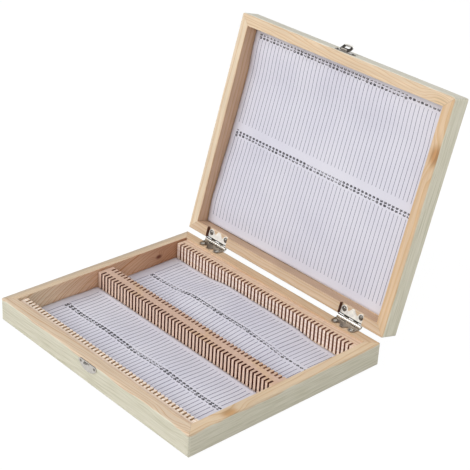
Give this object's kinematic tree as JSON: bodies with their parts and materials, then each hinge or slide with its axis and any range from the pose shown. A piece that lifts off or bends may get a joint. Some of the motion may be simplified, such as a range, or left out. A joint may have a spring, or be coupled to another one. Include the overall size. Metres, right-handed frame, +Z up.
{
  "type": "microscope slide box",
  "caption": "Low wooden box for microscope slides, open, with slotted racks in two rows, ruled index sheets, a hinged lid that stops past upright and a hasp latch.",
  "frame": {"origin": "centre of the base's underside, on the surface that the box stands on", "axes": "+X to the right as seen from the front, +Y from the latch side to the hinge side, +Z up; the rest pose has the lid open on its hinge stop, as in the picture"},
  "size_m": [0.23, 0.2642, 0.2142],
  "materials": {
    "base_rail_x": "painted outside, bare pine rim and inside, grain along X",
    "base_rail_y": "painted outside, bare pine rim and inside, grain along Y",
    "lid_rail_x": "painted outside, bare pine rim and inside, grain along X",
    "lid_rail_y": "painted outside, bare pine rim and inside, grain along the lid's depth",
    "base_panel": "bare pine",
    "lid_panel": "painted outside",
    "rack": "bare sawn pine",
    "sheet": "matt ruled paper",
    "hinge": "nickel plated",
    "latch": "nickel plated",
    "fastener": "nickel plated, tarnished"
  },
  "bodies": {
    "base": {"base_front_rail": "base_rail_x", "base_back_rail": "base_rail_x", "base_left_rail": "base_rail_y", "base_right_rail": "base_rail_y", "base_bottom_panel": "base_panel", "front_rack": "rack", "front_rack_teeth": "rack", "middle_rack": "rack", "middle_rack_teeth": "rack", "back_rack": "rack", "back_rack_teeth": "rack", "front_index_sheet": "sheet", "back_index_sheet": "sheet", "left_hinge_base_leaf": "hinge", "left_hinge_pin": "fastener", "right_hinge_base_leaf": "hinge", "right_hinge_pin": "fastener", "hinge_base_screws": "fastener", "catch_plate": "latch", "catch_nails": "fastener"},
    "lid": {"lid_front_rail": "lid_rail_x", "lid_back_rail": "lid_rail_x", "lid_left_rail": "lid_rail_y", "lid_right_rail": "lid_rail_y", "lid_top_panel": "lid_panel", "lid_index_sheet": "sheet", "left_hinge_lid_leaf": "hinge", "right_hinge_lid_leaf": "hinge", "hinge_lid_screws": "fastener", "latch_plate": "latch", "latch_nails": "fastener", "latch_pin": "fastener"},
    "hasp": {"latch_hasp": "latch"}
  },
  "joints": [
    {"name": "lid_hinge", "type": "hinge", "parent": "base", "child": "lid", "pos_m": [0, 0.09825, 0.0213], "axis": [1, 0, 0], "range_deg": [0, 105.1]},
    {"name": "hasp_swing", "type": "hinge", "parent": "lid", "child": "hasp", "pos_m": [0, 0.15075, 0.21128], "axis": [1, 0, 0], "range_deg": [0, 145]}
  ]
}
